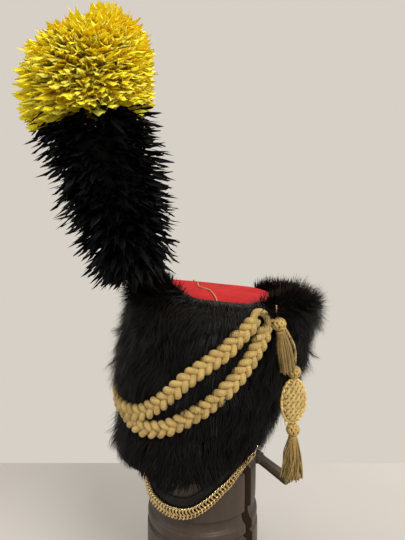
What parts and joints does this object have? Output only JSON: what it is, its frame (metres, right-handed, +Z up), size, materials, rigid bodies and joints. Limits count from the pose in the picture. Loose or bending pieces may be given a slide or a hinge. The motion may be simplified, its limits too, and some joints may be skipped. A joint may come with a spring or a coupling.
{
  "type": "busby hat on turned stand",
  "caption": "Fur hat with folded cloth bag, tall feather plume, plaited cap lines with tassel and chain chin strap, on a turned stand.",
  "frame": {"origin": "centre of the stand's foot, on the table", "axes": "+Z up along the stand, -Y towards the hat's front, +X towards the wearer's left"},
  "size_m": [0.2599, 0.4286, 0.7528],
  "materials": {
    "stand_wood": "dark polished turned wood",
    "fur": "long black fur",
    "bag_cloth": "matt red wool cloth",
    "piping": "gold seam piping",
    "black_feather": "glossy black feathers",
    "yellow_feather": "soft yellow feathers",
    "gold_gimp": "pale gold corded gimp",
    "strap_leather": "black leather",
    "brass": "polished gilt brass"
  },
  "bodies": {
    "root": {"stand_column": "stand_wood", "stand_handle": "stand_wood", "fur_crown": "fur", "bag": "bag_cloth", "bag_piping": "piping", "plume_stem": "brass", "plume_lower": "black_feather", "plume_upper": "yellow_feather", "cap_line_upper": "gold_gimp", "cap_line_lower": "gold_gimp", "cap_line_loop": "gold_gimp", "cap_line_hook_left": "brass", "cap_line_hook_right": "brass", "upper_tassel_knot": "gold_gimp", "upper_tassel_fringe": "gold_gimp", "tassel_cord": "gold_gimp", "middle_knot": "gold_gimp", "flounder": "gold_gimp", "lower_tassel_knot": "gold_gimp", "lower_tassel_fringe": "gold_gimp", "chin_strap": "strap_leather", "ear_hook_left": "brass", "ear_hook_right": "brass", "chin_chain_left": "brass", "chin_chain_centre": "brass", "chin_chain_right": "brass"}
  },
  "joints": []
}
